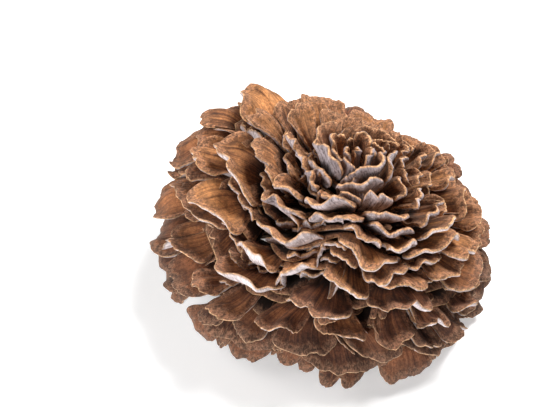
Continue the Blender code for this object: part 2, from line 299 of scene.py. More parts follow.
# how far edges and middles are off an even spacing, in shares of a frond's, cap's or row's size
ROW_STAGGER = 0.22
EDGE_STAGGER = 0.12
LAYER_STAGGER = 0.08
FROND_STAGGER = 0.06
# a large cap: the share of its arc that it fills, how strong and how many the waves across
# it are, and how far its front falls back at the sides
FILLS = (0.90, 1.0)
WAVE_STRENGTH = (0.4, 1)
WAVE_COUNT = (1.0, 2.6)
DROOP = (0.75, 1.05)
# the longest cap's reach, and the rows that stay short where a tier is open
LONGEST = 1.03
SHORT_ROWS = (0, 2)
SHORT_BY = 0.20
# how much of the upturn a cap has anywhere, gains where a tier is open, and loses when short
LIFTS = 0.22
OPEN_LIFTS = 0.78
SHORT_LOSES = 0.60
# the columns of strands that share a frond's stalk
STALK_COLUMNS = 4


def openness(form, turn):
    """1 on the side of a tier where every other row stays short, to bare the broad fans of
    the rows between, and 0 on the other side, in an S of the cosine of the turn."""
    if form["short_way"] is None:
        return 0
    return smooth(0.5 + 0.9 * np.cos(turn - form["short_way"]))


def plan_row(draw, form, row, left, right, layer, step, many):
    """The caps of one row: they share the arc from left to right between them. Each draws its
    reach and its own measure of every bend."""
    edges = np.linspace(left, right, many + 1)
    edges[1:-1] += draw.uniform(-EDGE_STAGGER, EDGE_STAGGER, many - 1) * (right - left) / many
    caps = []
    for number, (start, end) in enumerate(zip(edges[:-1], edges[1:])):
        free = openness(form, (start + end) / 2)
        short = free if row in SHORT_ROWS else 0
        caps.append({
            "form": form,
            "first_column": number * STALK_COLUMNS // many,
            "columns": STALK_COLUMNS // many,
            "turn": (start + end) / 2,
            "layer": layer + draw.uniform(-LAYER_STAGGER, LAYER_STAGGER) * step,
            "step": step,
            "half_turn": (end - start) / 2 * draw.uniform(*FILLS),
            "reach": draw.uniform(form["shortest"], LONGEST) * (1 - SHORT_BY * short),
            "lifts": LIFTS + OPEN_LIFTS * free - SHORT_LOSES * short,
            "bend": draw.uniform(-1, 1),
            "cup": draw.uniform(-1, 1),
            "curl": draw.uniform(-1, 1),
            "roll": draw.uniform(-1, 1),
            "wave": draw.uniform(*WAVE_STRENGTH),
            "waves": draw.uniform(*WAVE_COUNT),
            "phase": draw.uniform(0, 2 * np.pi),
            "droop": draw.uniform(*DROOP),
            "tilt": 0,
            "neck": 1,
            "lit": 1,
        })
    return caps


def plan_tier(draw, name, form):
    """A tier's fronds with their caps. A frond fills its own sector of the tier's layers, and
    the sector's edges are staggered from row to row, so neighbours interlock as bricks do."""
    fronds = []
    first = draw.uniform(0, 2 * np.pi)
    count, rows = form["fronds"], form["rows"]
    pitch = 2 * np.pi / count
    step = (form["bottom"] - form["top"]) / len(rows)
    stagger = draw.uniform(-ROW_STAGGER, ROW_STAGGER, (count, len(rows))) * pitch
    for number in range(count):
        turn = first + pitch * number
        caps = []
        for row, many in enumerate(rows):
            left = turn - pitch / 2 + stagger[number, row]
            right = turn + pitch / 2 + stagger[(number + 1) % count, row]
            caps += plan_row(draw, form, row, left, right, form["top"] + (row + 0.5) * step, step, many)
        fronds.append({
            "name": f"{name}_frond_{number + 1}",
            "turn": turn + pitch * draw.uniform(-FROND_STAGGER, FROND_STAGGER),
            "layer": (form["top"] + form["bottom"]) / 2,
            "caps": caps,
        })
    return fronds


# a small cap: its half width and its place beside its host and in the layers, in shares of
# the host's, its reach, its widest half in radians and its share of the upturn, then, where
# it stands on edge, its tilt in radians and how much further it reaches
SMALL_HALF = (0.40, 0.70)
SMALL_BESIDE = (0.6, 1.15)
SMALL_LAYER = (0.30, 0.5)
SMALL_REACH = (0.80, 0.94)
SMALL_WIDEST = 0.20
SMALL_LIFTS = 0.4
SMALL_TILT = (0.8, 1.45)
SMALL_EDGE_REACH = 0.05
# the young caps deep between two fronds: their half width and their place, in shares of a
# frond's sector, their reach, and, where a large cap has 1, how much of a neck they have and
# how far they come out of the painted shade
DEEP_CAPS = 4
DEEP_HALF = (0.40, 0.55)
DEEP_BESIDE = (0.30, 0.60)
DEEP_REACH = (0.66, 0.84)
DEEP_NECK = 0.35
DEEP_LIT = 0.45


def plan_small(draw, frond):
    """A small cap of a frond, in the space beside one of its large caps. Some stand on edge,
    across the layers instead of along them."""
    host = frond["caps"][draw.randint(len(frond["caps"]))]
    small = dict(host)
    small["half_turn"] = min(host["half_turn"] * draw.uniform(*SMALL_HALF), SMALL_WIDEST)
    small["turn"] = host["turn"] + draw.choice((-1, 1)) * draw.uniform(*SMALL_BESIDE) * host["half_turn"]
    small["layer"] = host["layer"] + draw.choice((-1, 1)) * draw.uniform(*SMALL_LAYER) * host["step"]
    small["step"] = host["step"] * 0.5
    reach = draw.uniform(*SMALL_REACH) * (1 - 0.5 * SHORT_BY * host["lifts"])
    small["lifts"] = SMALL_LIFTS
    small["tilt"] = draw.choice((0, 0, 1, -1)) * draw.uniform(*SMALL_TILT)
    small["reach"] = reach + SMALL_EDGE_REACH * min(abs(small["tilt"]), 1)
    return small


def plan_deep(draw, frond, form, number):
    """One of a frond's young caps, short and deep in the hollow between it and the next."""
    deep = dict(frond["caps"][draw.randint(len(frond["caps"]))])
    pitch = 2 * np.pi / form["fronds"]
    deep["half_turn"] = pitch * draw.uniform(*DEEP_HALF)
    deep["turn"] = frond["turn"] + pitch * draw.uniform(*DEEP_BESIDE)
    deep["layer"] = form["top"] + (number + 0.5) / DEEP_CAPS * (form["bottom"] - form["top"])
    deep["reach"] = draw.uniform(*DEEP_REACH)
    deep["lifts"] = 0
    deep["neck"] = DEEP_NECK
    # a young cap's smaller lit share keeps more painted shade on it
    deep["lit"] = DEEP_LIT
    return deep


# a cap's middle line: the share of its change of layer that the stalk makes, and where, in
# shares of the way, the stalk ends, the change is over, and the cap spreads to its own turn
LINE_POINTS = 33
STALK_SHARE = 0.92
STALK_END = 0.36
PART_SPAN = 0.30
SPREAD_START = 0.15
SPREAD_SPAN = 0.70
TURN_STEP = 0.02
LEAST_RING = 0.004
# the point of the line, near the rim, at which a cap's width is measured
WIDEST = -4


def cap_line(frond, cap):
    """A cap's middle line, from the frond's root to the rim: way, turn, layer and spread at
    its points, the length up to each, and the metres to one radian of turn there. It goes
    over to the cap's own layer mostly along the stalk, and to its own turn in an even S."""
    way = np.linspace(0, 1, LINE_POINTS)
    spread = smooth((way - SPREAD_START) / SPREAD_SPAN)
    part = STALK_SHARE * np.minimum(way / STALK_END, 1)
    part = part + (1 - STALK_SHARE) * smooth((way - STALK_END) / PART_SPAN)
    layer = frond["layer"] + (cap["layer"] - frond["layer"]) * part
    turn = frond["turn"] + (cap["turn"] - frond["turn"]) * spread
    place = grow(turn, layer, way)
    steps = np.linalg.norm(np.diff(place, axis=0), axis=1)
    length = np.concatenate(([0], np.cumsum(steps)))
    chord = grow(turn + TURN_STEP, layer, way) - grow(turn - TURN_STEP, layer, way)
    ring = np.linalg.norm(chord, axis=-1) / (2 * TURN_STEP)
    return way, turn, layer, spread, length, np.maximum(ring, LEAST_RING)


def add_waves(draw, along, count, longest, shortest):
    """A sum of sines along a line, of lengths between two sizes, at most 1 high."""
    total = 0
    for number in range(count):
        length = longest * (shortest / longest) ** draw.uniform(0, 1)
        total = total + np.sin(2 * np.pi * along / length + draw.uniform(0, 6.28))
    return total / count


# the grid, in columns across a cap and rows along it, and how it crowds at the margin
CAP_COLUMNS = 40
CAP_ROWS = 17
SMALL_COLUMNS = 26
SMALL_ROWS = 11
DEEP_COLUMNS = 12
DEEP_ROWS = 7
STALK_ROWS = 5
SIDE_CROWDING = 0.88
RIM_CROWDING = 1.5


def cap_grid(columns, rows):
    """Two numbers on a grid: a across a cap from -1 to 1, and b along it, from -1 at the
    stalk's foot, by 0 where the cap begins, to 1 at the rim. The lines of a lie closer at the
    sides by a sine, those of b closer at the foot by a cosine and at the rim by a power."""
    even = np.linspace(-1, 1, columns)
    a = SIDE_CROWDING * np.sin(even * np.pi / 2) + (1 - SIDE_CROWDING) * even
    stalk = -np.cos(np.linspace(0, np.pi / 2, STALK_ROWS))[:-1]
    b = np.concatenate((stalk, 1 - (1 - np.linspace(0, 1, rows)) ** RIM_CROWDING))
    return np.meshgrid(a, b, indexing="ij")


# the outline: the power of the front's arc, which stops just short of falling straight back
# at the corners, and the heights and the longest and shortest of each kind of wave
FRONT_ROUNDNESS = 2.8
CORNER_FALL = 0.995
LOBE_LENGTHS = (0.050, 0.018)
SCALLOP = 0.0006
SCALLOP_LENGTHS = (0.008, 0.004)
NOTCH = 0.14
NOTCH_WIDTH = 0.14
NOTCH_OFF_MIDDLE = 0.4
CRIMP = 0.05
CRIMP_LENGTHS = (0.040, 0.014)
CRIMP_BEGINS = 0.4


def cap_outline(cap, draw, a, b, width, reach):
    """A cap's outline seen flat: the share of the reach that each line of the grid goes out,
    and the share of the width that each row is across. The front falls back at the sides in
    an arc between a circle's and a square's, and has lobes, scallops and one notch shaped as
    a bell. The sides swell and narrow in waves."""
    side = np.abs(a) ** FRONT_ROUNDNESS
    fall = 1 - (1 - CORNER_FALL * side) ** (1 / FRONT_ROUNDNESS)
    front = 1 - 0.5 * width * cap["droop"] / reach * fall
    lobes = cap["form"]["lobe"] * add_waves(draw, a * width, 3, *LOBE_LENGTHS)
    scallops = SCALLOP * add_waves(draw, a * width, 3, *SCALLOP_LENGTHS)
    depth = draw.uniform(0, 1) ** 3
    notch = depth * np.exp(-((a - draw.uniform(-NOTCH_OFF_MIDDLE, NOTCH_OFF_MIDDLE)) / NOTCH_WIDTH) ** 2)
    front = front * (1 + (lobes - NOTCH * notch) * (1 - side)) + scallops * (1 - side) / reach
    crimp = 1 + CRIMP * add_waves(draw, b * reach, 3, *CRIMP_LENGTHS) * smooth(b / CRIMP_BEGINS)
    return front, crimp


# the sheet: no cap is wider than the limit, and all stand a gap apart
CAP_LIMIT = 0.068
CAP_GAP = 0.0012
STALK_HALF_WIDTH = 0.0050
BEND = 0.0012
CAP_THICKNESS = 0.0022
LEAST_ROOM = 0.0003
TOP_LAYER = 0.01
SLOPE_STEP = 0.004


def cap_sheet(frond, cap, draw, a, b):
    """A cap's middle sheet before it is lifted: the fan of its outline laid into its layer of
    the growth law, or across the layers where it is tilted, its strand side by side with the
    others of the stalk. With it come the way up from the sheet, which is the cross product of
    its two slopes, half the room to the layers beside it, its width and its reach."""
    way, turn, layer, spread, length, ring = cap_line(frond, cap)
    metres = ring[WIDEST]
    half_turn = min(cap["half_turn"], CAP_LIMIT / 2 / metres) - CAP_GAP / metres
    width = 2 * half_turn * metres
    start = np.interp(STALK_END, way, length)
    reach = length[-1] * cap["reach"] - start
    front, crimp = cap_outline(cap, draw, a, b, width, reach)
    out = np.clip(b, 0, 1)
    forward = start * np.clip(1 + b, 0, 1) + out * front * reach
    at_way = np.interp(forward, length, way) + np.clip(forward - length[-1], 0, None) / length[-1]
    at_spread = np.interp(at_way, way, spread)
    root_share = (2 * cap["first_column"] + (1 + a) * cap["columns"]) / STALK_COLUMNS - 1
    sideways = root_share * STALK_HALF_WIDTH * (1 - at_spread) + cap["bend"] * BEND * out ** 2
    across = a * crimp * half_turn * at_spread ** cap["neck"]
    at_turn = np.interp(at_way, way, turn) + across * math.cos(cap["tilt"])
    at_turn = at_turn + sideways / np.interp(at_way, way, ring)
    tilted = across * math.sin(cap["tilt"]) * metres / (REACH * HALF_WIDTH)
    at_layer = np.clip(np.interp(at_way, way, layer) + tilted, TOP_LAYER, 1)

    step = SLOPE_STEP
    place = grow(at_turn, at_layer, at_way)
    over = grow(at_turn, at_layer - step, at_way) - place
    round_way = grow(at_turn + step, at_layer, at_way) - grow(at_turn - step, at_layer, at_way)
    out_way = grow(at_turn, at_layer, at_way + step) - grow(at_turn, at_layer, np.maximum(at_way - step, 0))
    face = np.cross(round_way, out_way)
    face /= np.linalg.norm(face, axis=-1, keepdims=True)
    face *= np.sign((face * over).sum(-1, keepdims=True))
    apart = np.abs((over * face).sum(-1)) / step * cap["step"]
    room = np.maximum((cap["form"]["room"] * apart - CAP_THICKNESS) / 2, LEAST_ROOM)
    return place, face, room, width, reach


def margin_distance(place):
    """The distance in from the margin at every point of a sheet, and the distance out from
    the stalk's foot, both as sums of the steps along the grid's lines."""
    across_steps = np.linalg.norm(np.diff(place, axis=0), axis=-1)
    from_left = np.concatenate((np.zeros((1, place.shape[1])), np.cumsum(across_steps, axis=0)))
    out_steps = np.linalg.norm(np.diff(place, axis=1), axis=-1)
    from_foot = np.concatenate((np.zeros((len(place), 1)), np.cumsum(out_steps, axis=1)), axis=1)
    to_side = np.minimum(from_left, from_left[-1:] - from_left)
    to_end = np.minimum(from_foot[:, -1:] - from_foot, from_foot)
    return np.minimum(to_side, to_end), from_foot


# the lift: the tier's cup and curl on average and how far the caps' own draws go from it,
# then heights in metres, the lengths of waves, and spans in from the margin
CUP_MEAN = 0.5
CUP_SPREAD = 0.9
CURL_MEAN = 0.7
CURL_SPREAD = 0.6
WAVE = 0.0042
WAVE_FULL_WIDTH = 0.05
ROLL = 0.002
RUFFLE_GAIN = 1.8
RUFFLE_LENGTHS = (0.045, 0.020)
RUFFLE_SPAN = 0.010
FRILL = 0.0005
FRILL_LENGTHS = (0.009, 0.005)
FRILL_SPAN = 0.003
ROLLED_DRAW = (0.2, 1.0)
ROLLED_SPAN = 0.0035
UPTURN = 0.0160
UPTURN_DRAW = (0.4, 1.0)
UPTURN_SPAN = 0.0085
BACK_UPTURN = 0.25
CORNER_CALM = 0.8
CORNER_LOW = 0.9


def cap_lift(cap, draw, a, b, edge, room, width, reach):
    """How far a cap's sheet stands up from its layer at every point: a cup that lifts the
    sides, a curl that lowers the rim, a wave across, a slant, and a ruffle along the margin,
    together held within the room by a tanh and calmer at the corners. Past that the rim rolls
    over, is turned up, most where the tier is open and towards the front, and is finely
    frilled, each fading exponentially in from the margin."""
    form = cap["form"]
    out = np.clip(b, 0, 1)
    corner = np.abs(a) * out
    lift = (CUP_MEAN + CUP_SPREAD * cap["cup"]) * form["cup"] * np.abs(a) ** 2.5 * out ** 1.5
    curl = (CURL_MEAN + CURL_SPREAD * cap["curl"]) * form["curl"]
    lift = lift - curl * (out * (1 - 0.3 * np.abs(a) ** 3)) ** 7
    wave = cap["wave"] * WAVE * (width / WAVE_FULL_WIDTH) ** 0.6
    lift = lift + wave * np.sin(cap["waves"] * np.pi * a + cap["phase"]) * out ** 3
    lift = lift + ROLL * cap["roll"] * a * out
    margin_way = a * width / 2 + np.sign(a) * smooth(np.abs(a)) * (1 - out) * reach
    ruffle = form["ruffle"] * add_waves(draw, margin_way, 3, *RUFFLE_LENGTHS) * np.exp(-edge / RUFFLE_SPAN)
    frill = FRILL * add_waves(draw, margin_way, 3, *FRILL_LENGTHS) * np.exp(-edge / FRILL_SPAN)
    lift = lift + RUFFLE_GAIN * ruffle * out ** 0.5
    lift = room * np.tanh(lift / room) * (1 - CORNER_CALM * corner ** 4)
    lift = lift - draw.uniform(*ROLLED_DRAW) * form["rolled"] * np.exp(-edge / ROLLED_SPAN) * out
    to_front = smooth(0.4 + 0.6 * (-math.sin(cap["turn"]) * (1 - a ** 2) - math.cos(cap["turn"]) * a))
    upturn = UPTURN * cap["lifts"] * draw.uniform(*UPTURN_DRAW)
    upturn = upturn * (BACK_UPTURN + (1 - BACK_UPTURN) * to_front)
    upturn = upturn * np.exp(-edge / UPTURN_SPAN) * out ** 2
    lift = lift + upturn * (1 - CORNER_LOW * corner ** 3)
    return lift + frill


def quads(corners):
    """The four corners of every square of a grid of corner numbers."""
    four = np.stack((corners[:-1, :-1], corners[1:, :-1], corners[1:, 1:], corners[:-1, 1:]), -1)
    return four.reshape(-1, 4)


def shell_faces(place, face):
    """The faces of a shell whose upper and lower side share the corners round the border, all
    facing outwards, and the points of the grid inside the border, whose lower corners follow
    all the upper ones."""
    upper = np.arange(face[..., 0].size).reshape(face.shape[:2])
    inside = np.zeros(upper.shape, bool)
    inside[1:-1, 1:-1] = True
    lower = np.where(inside, np.cumsum(inside).reshape(upper.shape) - 1 + upper.size, upper)
    across = place[1:, :-1] - place[:-1, :-1]
    along = place[:-1, 1:] - place[:-1, :-1]
    if (np.cross(across, along) * face[:-1, :-1]).sum() < 0:
        return np.concatenate((quads(upper)[:, ::-1], quads(lower))), inside
    return np.concatenate((quads(upper), quads(lower)[:, ::-1])), inside


# the flesh: its thickness at the stalk and the swelling of the rim, how much of it is below
# the sheet, the widths of the margin's quarter rounds, and the ribs on the upper face
ROOT_THICKNESS = 0.0040
RIM_SWELL = 0.0007
SWELL_SPAN = 0.003
SHARE_BELOW = 0.65
MARGIN_ABOVE = 0.0009
MARGIN_BELOW = 0.0020
RIBS = 0.00028
RIB_LENGTHS = (0.009, 0.0025)
RIBS_BEGIN = 0.3


def cap_shell(frond, cap, draw, columns=CAP_COLUMNS, rows=CAP_ROWS):
    """One cap with its strand of the stalk, as a closed shell over the two numbers of its
    grid. It is the lifted sheet moved a share of its thickness each way, and the thickness
    falls in a quarter circle to nothing at the margin, where both faces share their corners.
    Fine ribs run up the upper face. Each corner carries the numbers that the skin reads."""
    a, b = cap_grid(columns, rows)
    out = np.clip(b, 0, 1)
    place, face, room, width, reach = cap_sheet(frond, cap, draw, a, b)
    edge, from_foot = margin_distance(place)
    lift = cap_lift(cap, draw, a, b, edge, room, width, reach)
    ribs = RIBS * add_waves(draw, a * width, 5, *RIB_LENGTHS) * smooth(b / RIBS_BEGIN)
    thickness = CAP_THICKNESS + RIM_SWELL * np.exp(-edge / SWELL_SPAN) * out
    thickness = thickness + (ROOT_THICKNESS - CAP_THICKNESS) * (1 - out) ** 2
    above = np.sqrt(1 - (1 - np.clip(edge / MARGIN_ABOVE, 0, 1)) ** 2)
    beneath = np.sqrt(1 - (1 - np.clip(edge / MARGIN_BELOW, 0, 1)) ** 2)
    middle = place + face * lift[..., None]
    upper = middle + face * (((1 - SHARE_BELOW) * thickness + ribs) * above)[..., None]
    lower = middle - face * (SHARE_BELOW * thickness * beneath)[..., None]
    faces, inside = shell_faces(place, face)
    places = np.concatenate((upper.reshape(-1, 3), lower[inside]))

    def on_both(values):
        """A value at every corner: those of the upper side, then the lower side's own."""
        return np.concatenate((values.ravel(), values[inside]))

    numbers = {
        "fan": on_both(a * width / 2),
        "along": on_both(from_foot),
        "edge": on_both(edge),
        # the way out from the stalk, times the cap's lit share: the skin reads it for the painted shade
        # towards the stalk
        "beyond": on_both(b) * cap["lit"],
        "top": np.concatenate((np.ones(a.size), np.zeros(inside.sum()))),
        "tone": np.full(len(places), draw.uniform(0, 1)),
    }
    return places, faces, numbers


def grow_tier(draw, name, form, material):
    """The tier's fronds. Each is one object: the shells of its large, small and young caps,
    whose strands run together into one stalk at the stem."""
    detail = np.random.RandomState(len(name) * 7 + form["fronds"])
    for frond in plan_tier(draw, name, form):
        shells = [cap_shell(frond, cap, detail) for cap in frond["caps"]]
        for cap in [plan_small(detail, frond) for number in range(form["small"])]:
            shells.append(cap_shell(frond, cap, detail, SMALL_COLUMNS, SMALL_ROWS))
        for cap in [plan_deep(detail, frond, form, number) for number in range(DEEP_CAPS)]:
            shells.append(cap_shell(frond, cap, detail, DEEP_COLUMNS, DEEP_ROWS))
        first = np.cumsum([0] + [len(shell[0]) for shell in shells])
        places = np.concatenate([shell[0] for shell in shells])
        faces = np.concatenate([shell[1] + start for shell, start in zip(shells, first)])
        numbers = {label: np.concatenate([shell[2][label] for shell in shells]) for label in shells[0][2]}
        piece = add_piece(frond["name"] + "_caps", places, faces.tolist(), numbers, material)
        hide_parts(frond["name"])
        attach(piece, "root")


# the skin's patterns, in lumps to the metre: across the fibres and along them
STREAKS = (560, 15)
FIBRES = (2300, 80)
FLECKS = (1100, 330)
PORES = (1000, 420)
PORE_LINES = (900, 150)
# and those that are alike every way
GRAIN = 1100
NAP = 450
MOTTLE = 75
# how strongly each shows in the fan's colour, what the painted shade along the way from the
# stalk and the cap's own tone add to that, and where in the sum dark turns to middle and
# middle to lit
STREAK_SHARE = 0.46
FIBRE_SHARE = 0.18
MOTTLE_SHARE = 0.20
WAY_PAINTED_SHADE_SHARE = (0.10, 0.70, -0.22, 0.10)
TONE_SHARE = (0.0, 1.0, -0.05, 0.07)
TO_MIDDLE = (0.34, 0.52)
TO_LIT = (0.46, 0.64)
# how far in from the margin each zone of the skin starts and is full, and how ragged they are
RIM_LINE = (0.0006, 0.0002)
FELT = (0.0068, 0.0040)
FLECKED = (0.0075, 0.0040)
DARK_ZONE_OUTSIDE = (0.0045, 0.0070)
DARK_ZONE_INSIDE = (0.0140, 0.0080)
SILKY = (0.0045, 0.0100)
RIM_LINE_RAGGED = 0.0009
ZONES_RAGGED = 0.012
# how strong each zone is at most, and a fleck's size
DARK_ZONE_MOST = 0.45
FELT_MOST = 0.85
FLECKS_MOST = 0.60
FLECK_SIZE = (0.48, 0.20)
# the pale line's strength: part the skin's own pale margin, part painted highlight
RIM_LINE_AND_HIGHLIGHT_MOST = 0.75
# the light and dark of the grain and the nap, and the painted shade along the way from the
# stalk: what each is read between, and as how much of the colour; and how much of it is
# left on the silky fan
GRAIN_LEVEL = (0.32, 0.68, 0.60, 1.44)
NAP_LEVEL = (0.36, 0.64, 0.45, 1.55)
WAY_PAINTED_SHADE_LEVEL = (-0.20, 0.50, 0.34, 0.99)
SILKY_LEFT = 0.50
# the pored face: a pore's size and strength, where dark turns to pale, and how the face
# darkens in painted shade and the stalk's flesh begins towards the foot
PORE_SIZE = (0.15, 0.60)
PORE_SHARE = 0.12
TO_PALE = (0.55, 0.86)
TO_PAINTED_SHADE_FOOT = (0.72, 0.20, 0, 0.90)
TO_STALK = (-0.45, -0.95, 0, 0.6)
SKIN_ROUGHNESS = (0.4, 0.7, 0.95, 0.72)
SKIN_RELIEF = 0.00060
SHEEN = (1.0, 0.80, 0.60)
SHEEN_WEIGHT = 0.08
SHEEN_ROUGHNESS = 0.40
# how far a cap's tone moves its patterns
TONE_MOVES = 37


def skin_material(name, lit, middle, dark, margin, rim, under, under_dark):
    """A cap's skin. Above, velvety: long dark streaks and fine fibres spread from the stalk
    over a skin that is warmest in the middle of the fan, and darker down towards the stalk
    in painted shade. Round that come a darker zone and a felt margin with short dark flecks
    and a thin pale line, partly the skin's own and partly a painted highlight, and a nap lies
    over all. Below, pale, with fine pores in lines, darkening towards the stalk in painted
    shade. Numbers at the corners tell it the place across the fan and along it, the distance
    in from the margin, how far beyond the stalk, which face it is, and one tone for each cap."""
    material, tree, shader = start_material(name)
    place = add_node(tree, "TexCoord").outputs["Object"]
    fan, along = add_number(tree, "fan"), add_number(tree, "along")
    edge, beyond = add_number(tree, "edge"), add_number(tree, "beyond")
    top, tone = add_number(tree, "top"), add_number(tree, "tone")
    spot = add_node(tree, "CombineXYZ", {0: fan, 1: along, 2: tone}).outputs[0]

    def stretched(pitches, shift):
        """A place on the fan, stretched along the fibres. The tone, times a number of the
        pattern's own, gives each cap another part of it."""
        scale = (*pitches, TONE_MOVES + shift)
        return add_node(tree, "Mapping", {"Vector": spot, "Scale": scale}).outputs[0]

    def cells(pitches, shift):
        """The distance to the nearest of many scattered points, stretched the same way."""
        where = stretched(pitches, shift)
        return add_node(tree, "TexVoronoi", {"Vector": where, "Scale": 1.0}).outputs["Distance"]

    def times(value, factor):
        """A value times a factor."""
        return add_sum(tree, value, factor, "MULTIPLY")

    def less(value, amount):
        """A value less an amount."""
        return add_sum(tree, value, amount, "SUBTRACT")

    # the fan: streaks and fibres, with painted shade darkest down towards the stalk
    streak = add_noise(tree, stretched(STREAKS, 0), 1.0, detail=5, roughness=0.66, twist=0.3)
    fibre = add_noise(tree, stretched(FIBRES, 5), 1.0, detail=3, roughness=0.60, twist=0.2)
    grain = add_noise(tree, place, GRAIN, detail=5, roughness=0.75)
    mottle = add_noise(tree, place, MOTTLE, detail=4, roughness=0.6)
    mixed = add_sum(tree, times(streak, STREAK_SHARE), times(fibre, FIBRE_SHARE))
    mixed = add_sum(tree, mixed, times(mottle, MOTTLE_SHARE))
    # painted shade: the fan darkens down towards the stalk
    mixed = add_sum(tree, mixed, add_range(tree, beyond, *WAY_PAINTED_SHADE_SHARE))
    mixed = add_sum(tree, mixed, add_range(tree, tone, *TONE_SHARE))
    colour = add_blend(tree, add_range(tree, mixed, *TO_MIDDLE), dark, middle)
    colour = add_blend(tree, add_range(tree, mixed, *TO_LIT), colour, lit)

    # the darker zone, the felt margin and its flecks, all ragged along the streaks, and the
    # pale line, ragged with the grain, partly the skin's own and partly a painted highlight
    # where the rims catch the light
    ragged = add_sum(tree, edge, times(less(streak, 0.5), ZONES_RAGGED))
    zone = add_range(tree, ragged, *DARK_ZONE_OUTSIDE)
    zone = times(zone, add_range(tree, ragged, *DARK_ZONE_INSIDE))
    colour = add_blend(tree, times(zone, DARK_ZONE_MOST), colour, dark)
    colour = add_blend(tree, add_range(tree, ragged, *FELT, 0, FELT_MOST), colour, margin)
    fleck = add_range(tree, cells(FLECKS, 9), *FLECK_SIZE)
    fleck = times(fleck, add_range(tree, ragged, *FLECKED, 0, FLECKS_MOST))
    colour = add_blend(tree, fleck, colour, dark)
    line = add_sum(tree, edge, times(less(grain, 0.5), RIM_LINE_RAGGED))
    # the pale line at the margin, part the skin's own colour and part painted highlight
    colour = add_blend(tree, add_range(tree, line, *RIM_LINE, 0, RIM_LINE_AND_HIGHLIGHT_MOST), colour, rim)

    # the nap, coarse on the margin and silky on the fan, and the painted shade towards the stalk
    nap = add_noise(tree, place, NAP, detail=4, roughness=0.75)
    level = add_range(tree, grain, *GRAIN_LEVEL)
    level = times(level, add_range(tree, nap, *NAP_LEVEL))
    left = add_range(tree, ragged, *SILKY, 1.0, SILKY_LEFT)
    level = add_sum(tree, times(less(level, 1.0), left), 1.0)
    # painted shade: darker towards the stalk
    level = times(level, add_range(tree, beyond, *WAY_PAINTED_SHADE_LEVEL))
    grey = add_node(tree, "CombineColor", {0: level, 1: level, 2: level}).outputs[0]
    colour = add_blend(tree, 1.0, colour, grey, "MULTIPLY")

    # the pored face below, with painted shade towards the foot, and the stalk, where the skin
    # gives way to flesh, given in the darker pored colour
    lines = add_noise(tree, stretched(PORE_LINES, 7), 1.0, detail=4, roughness=0.72)
    pore = add_sum(tree, times(add_range(tree, cells(PORES, 3), *PORE_SIZE), PORE_SHARE), lines)
    shade = add_sum(tree, times(pore, 0.8), times(mottle, 0.5))
    below = add_blend(tree, add_range(tree, shade, *TO_PALE), under_dark, under)
    # painted shade: the pored face turns dark towards the foot
    below = add_blend(tree, add_range(tree, beyond, *TO_PAINTED_SHADE_FOOT), below, dark)
    colour = add_blend(tree, top, below, colour)
    # the stalk's flesh, in the darker pored colour, with some of the painted shade left on it
    colour = add_blend(tree, add_range(tree, beyond, *TO_STALK), colour, under_dark)
    tree.links.new(colour, shader.inputs["Base Color"])

    tree.links.new(add_range(tree, mixed, *SKIN_ROUGHNESS), shader.inputs["Roughness"])
    shader.inputs["Sheen Weight"].default_value = SHEEN_WEIGHT
    shader.inputs["Sheen Roughness"].default_value = SHEEN_ROUGHNESS
    shader.inputs["Sheen Tint"].default_value = (*SHEEN, 1)
    velvet = add_sum(tree, add_sum(tree, times(fibre, 0.5), times(grain, 0.4)), nap)
    relief = add_node(tree, "Mix", {0: top, 2: times(pore, 1.6), 3: velvet}, data_type="FLOAT").outputs[0]
    bump = add_node(tree, "Bump", {"Strength": 0.9, "Distance": SKIN_RELIEF, "Height": relief})
    tree.links.new(bump.outputs[0], shader.inputs["Normal"])
    return material


# Each tier gives its fronds, the caps in each row, its layers, its shortest cap's reach, the
# way it is open, its small caps to a frond, and the share of the room a cap may take. Then
# come its caps' measures, in metres but for the lobes, which are a share of the reach.
CROWN = {
    "fronds": 2, "rows": (1, 2, 2), "top": 0.000, "bottom": 0.125, "shortest": 0.90,
    "short_way": None, "small": 2, "room": 0.98,
    "cup": 0.0030, "curl": 0.0020, "lobe": 0.025, "ruffle": 0.0012, "rolled": 0.0012,
}
growth = np.random.RandomState(9)
# the pale pored faces below are much darker than the outer tiers': painted shade, deep in the middle of the
# rosette
crown_skin = skin_material(
    "crown_skin", lit=(0.517, 0.205, 0.070), middle=(0.211, 0.074, 0.029), dark=(0.027, 0.010, 0.005),
    margin=(0.302, 0.141, 0.070), rim=(0.588, 0.325, 0.153),
    under=(0.440, 0.372, 0.388), under_dark=(0.110, 0.084, 0.088))
grow_tier(growth, "crown", CROWN, crown_skin)

# The inner tier
# Fronds that lean out round the crown, grown from the stem's top. Their caps, still soft and
# thin, stand so steeply that the pale pored faces below show at the front.

INNER = {
    "fronds": 6, "rows": (1, 2, 2, 2), "top": 0.125, "bottom": 0.335, "shortest": 0.90,
    "short_way": math.radians(120), "small": 3, "room": 1.02,
    "cup": 0.0030, "curl": 0.0025, "lobe": 0.030, "ruffle": 0.0016, "rolled": 0.0014,
}
# the pale pored faces below are darker than the outer tiers': painted shade, under the crown in the middle
# of the rosette
inner_skin = skin_material(
    "inner_skin", lit=(0.510, 0.212, 0.070), middle=(0.200, 0.071, 0.026), dark=(0.027, 0.010, 0.005),
    margin=(0.302, 0.141, 0.070), rim=(0.609, 0.335, 0.161),
    under=(0.600, 0.515, 0.530), under_dark=(0.150, 0.118, 0.122))
grow_tier(growth, "inner", INNER, inner_skin)

# The upper tier
# The fronds of the shoulder, branching from the upper part of the stem. Their fans are the
# most open to the light, thin and springy, and the warmest in colour.

